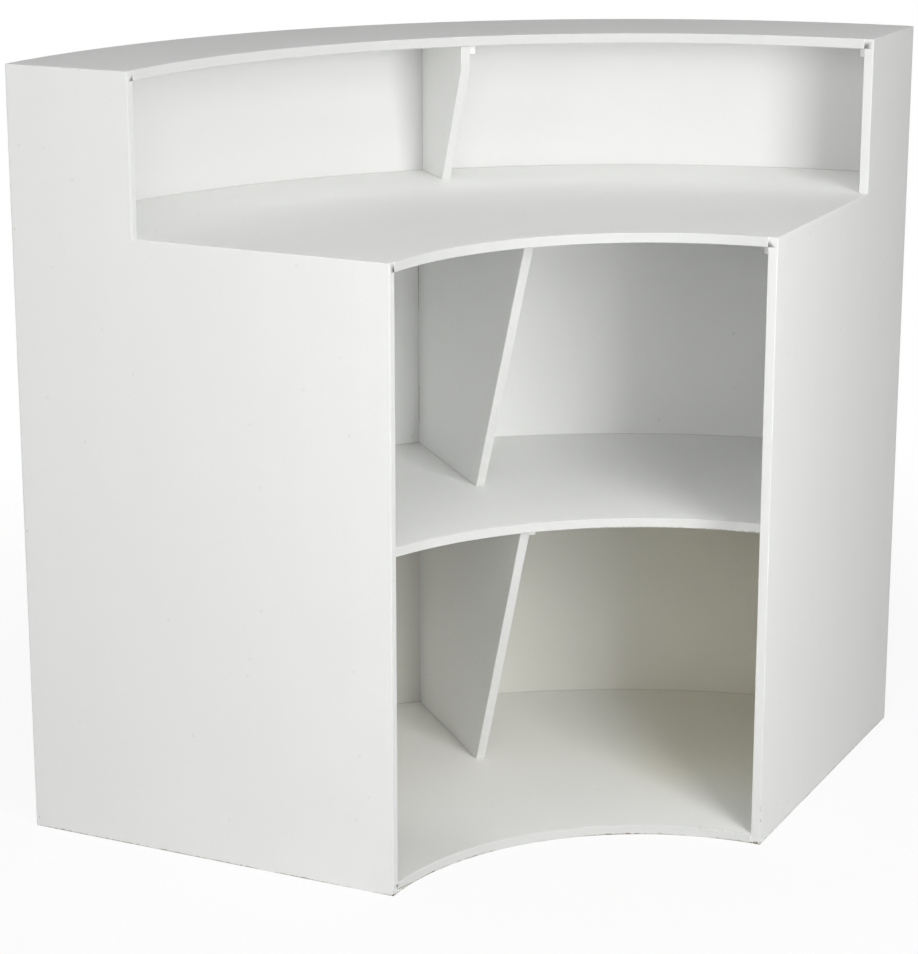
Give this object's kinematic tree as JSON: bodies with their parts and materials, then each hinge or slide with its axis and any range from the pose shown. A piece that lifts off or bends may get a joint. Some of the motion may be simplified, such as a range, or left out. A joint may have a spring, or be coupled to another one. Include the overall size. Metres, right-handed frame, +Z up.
{
  "type": "reception desk",
  "caption": "Curved reception desk in white painted board: closed visitor side, open staff shelves, a worktop and a raised counter.",
  "frame": {"origin": "on the floor, in the middle of the desk's footprint box", "axes": "+Z up, +Y from the open staff side towards the curved visitor side, +X to the right of a person standing at the staff side"},
  "size_m": [1.4142, 0.7172, 1.136],
  "materials": {
    "painted_board": "white satin paint, rolled on filled and sanded fibreboard",
    "beech_dowel": "bare beech",
    "screw_steel": "bright zinc plated"
  },
  "bodies": {
    "root": {"base_board": "painted_board", "shelf_board": "painted_board", "worktop": "painted_board", "counter_top": "painted_board", "visitor_skin": "painted_board", "left_end_panel": "painted_board", "right_end_panel": "painted_board", "lower_divider": "painted_board", "upper_divider": "painted_board", "counter_divider": "painted_board", "counter_top_cleat_left": "painted_board", "counter_top_cleat_right": "painted_board", "worktop_cleat_left": "painted_board", "worktop_cleat_right": "painted_board", "lower_divider_cleat": "painted_board", "upper_divider_cleat": "painted_board", "counter_divider_cleat": "painted_board", "left_base_dowel_1": "beech_dowel", "left_base_dowel_2": "beech_dowel", "left_base_dowel_3": "beech_dowel", "left_shelf_dowel_1": "beech_dowel", "left_shelf_dowel_2": "beech_dowel", "left_shelf_dowel_3": "beech_dowel", "right_base_dowel_1": "beech_dowel", "right_base_dowel_2": "beech_dowel", "right_base_dowel_3": "beech_dowel", "right_shelf_dowel_1": "beech_dowel", "right_shelf_dowel_2": "beech_dowel", "right_shelf_dowel_3": "beech_dowel", "lower_divider_dowel_1": "beech_dowel", "lower_divider_dowel_2": "beech_dowel", "upper_divider_dowel_1": "beech_dowel", "upper_divider_dowel_2": "beech_dowel", "counter_divider_dowel_1": "beech_dowel", "counter_divider_dowel_2": "beech_dowel", "counter_top_cleat_left_side_screw_1": "screw_steel", "counter_top_cleat_left_side_screw_2": "screw_steel", "counter_top_cleat_left_top_screw_1": "screw_steel", "counter_top_cleat_right_side_screw_1": "screw_steel", "counter_top_cleat_right_side_screw_2": "screw_steel", "counter_top_cleat_right_top_screw_1": "screw_steel", "worktop_cleat_left_side_screw_1": "screw_steel", "worktop_cleat_left_side_screw_2": "screw_steel", "worktop_cleat_left_top_screw_1": "screw_steel", "worktop_cleat_left_top_screw_2": "screw_steel", "worktop_cleat_right_side_screw_1": "screw_steel", "worktop_cleat_right_side_screw_2": "screw_steel", "worktop_cleat_right_top_screw_1": "screw_steel", "worktop_cleat_right_top_screw_2": "screw_steel", "lower_divider_cleat_side_screw_1": "screw_steel", "lower_divider_cleat_side_screw_2": "screw_steel", "lower_divider_cleat_top_screw_1": "screw_steel", "lower_divider_cleat_top_screw_2": "screw_steel", "upper_divider_cleat_side_screw_1": "screw_steel", "upper_divider_cleat_side_screw_2": "screw_steel", "upper_divider_cleat_top_screw_1": "screw_steel", "upper_divider_cleat_top_screw_2": "screw_steel", "counter_divider_cleat_side_screw_1": "screw_steel", "counter_divider_cleat_side_screw_2": "screw_steel", "counter_divider_cleat_top_screw_1": "screw_steel"}
  },
  "joints": []
}
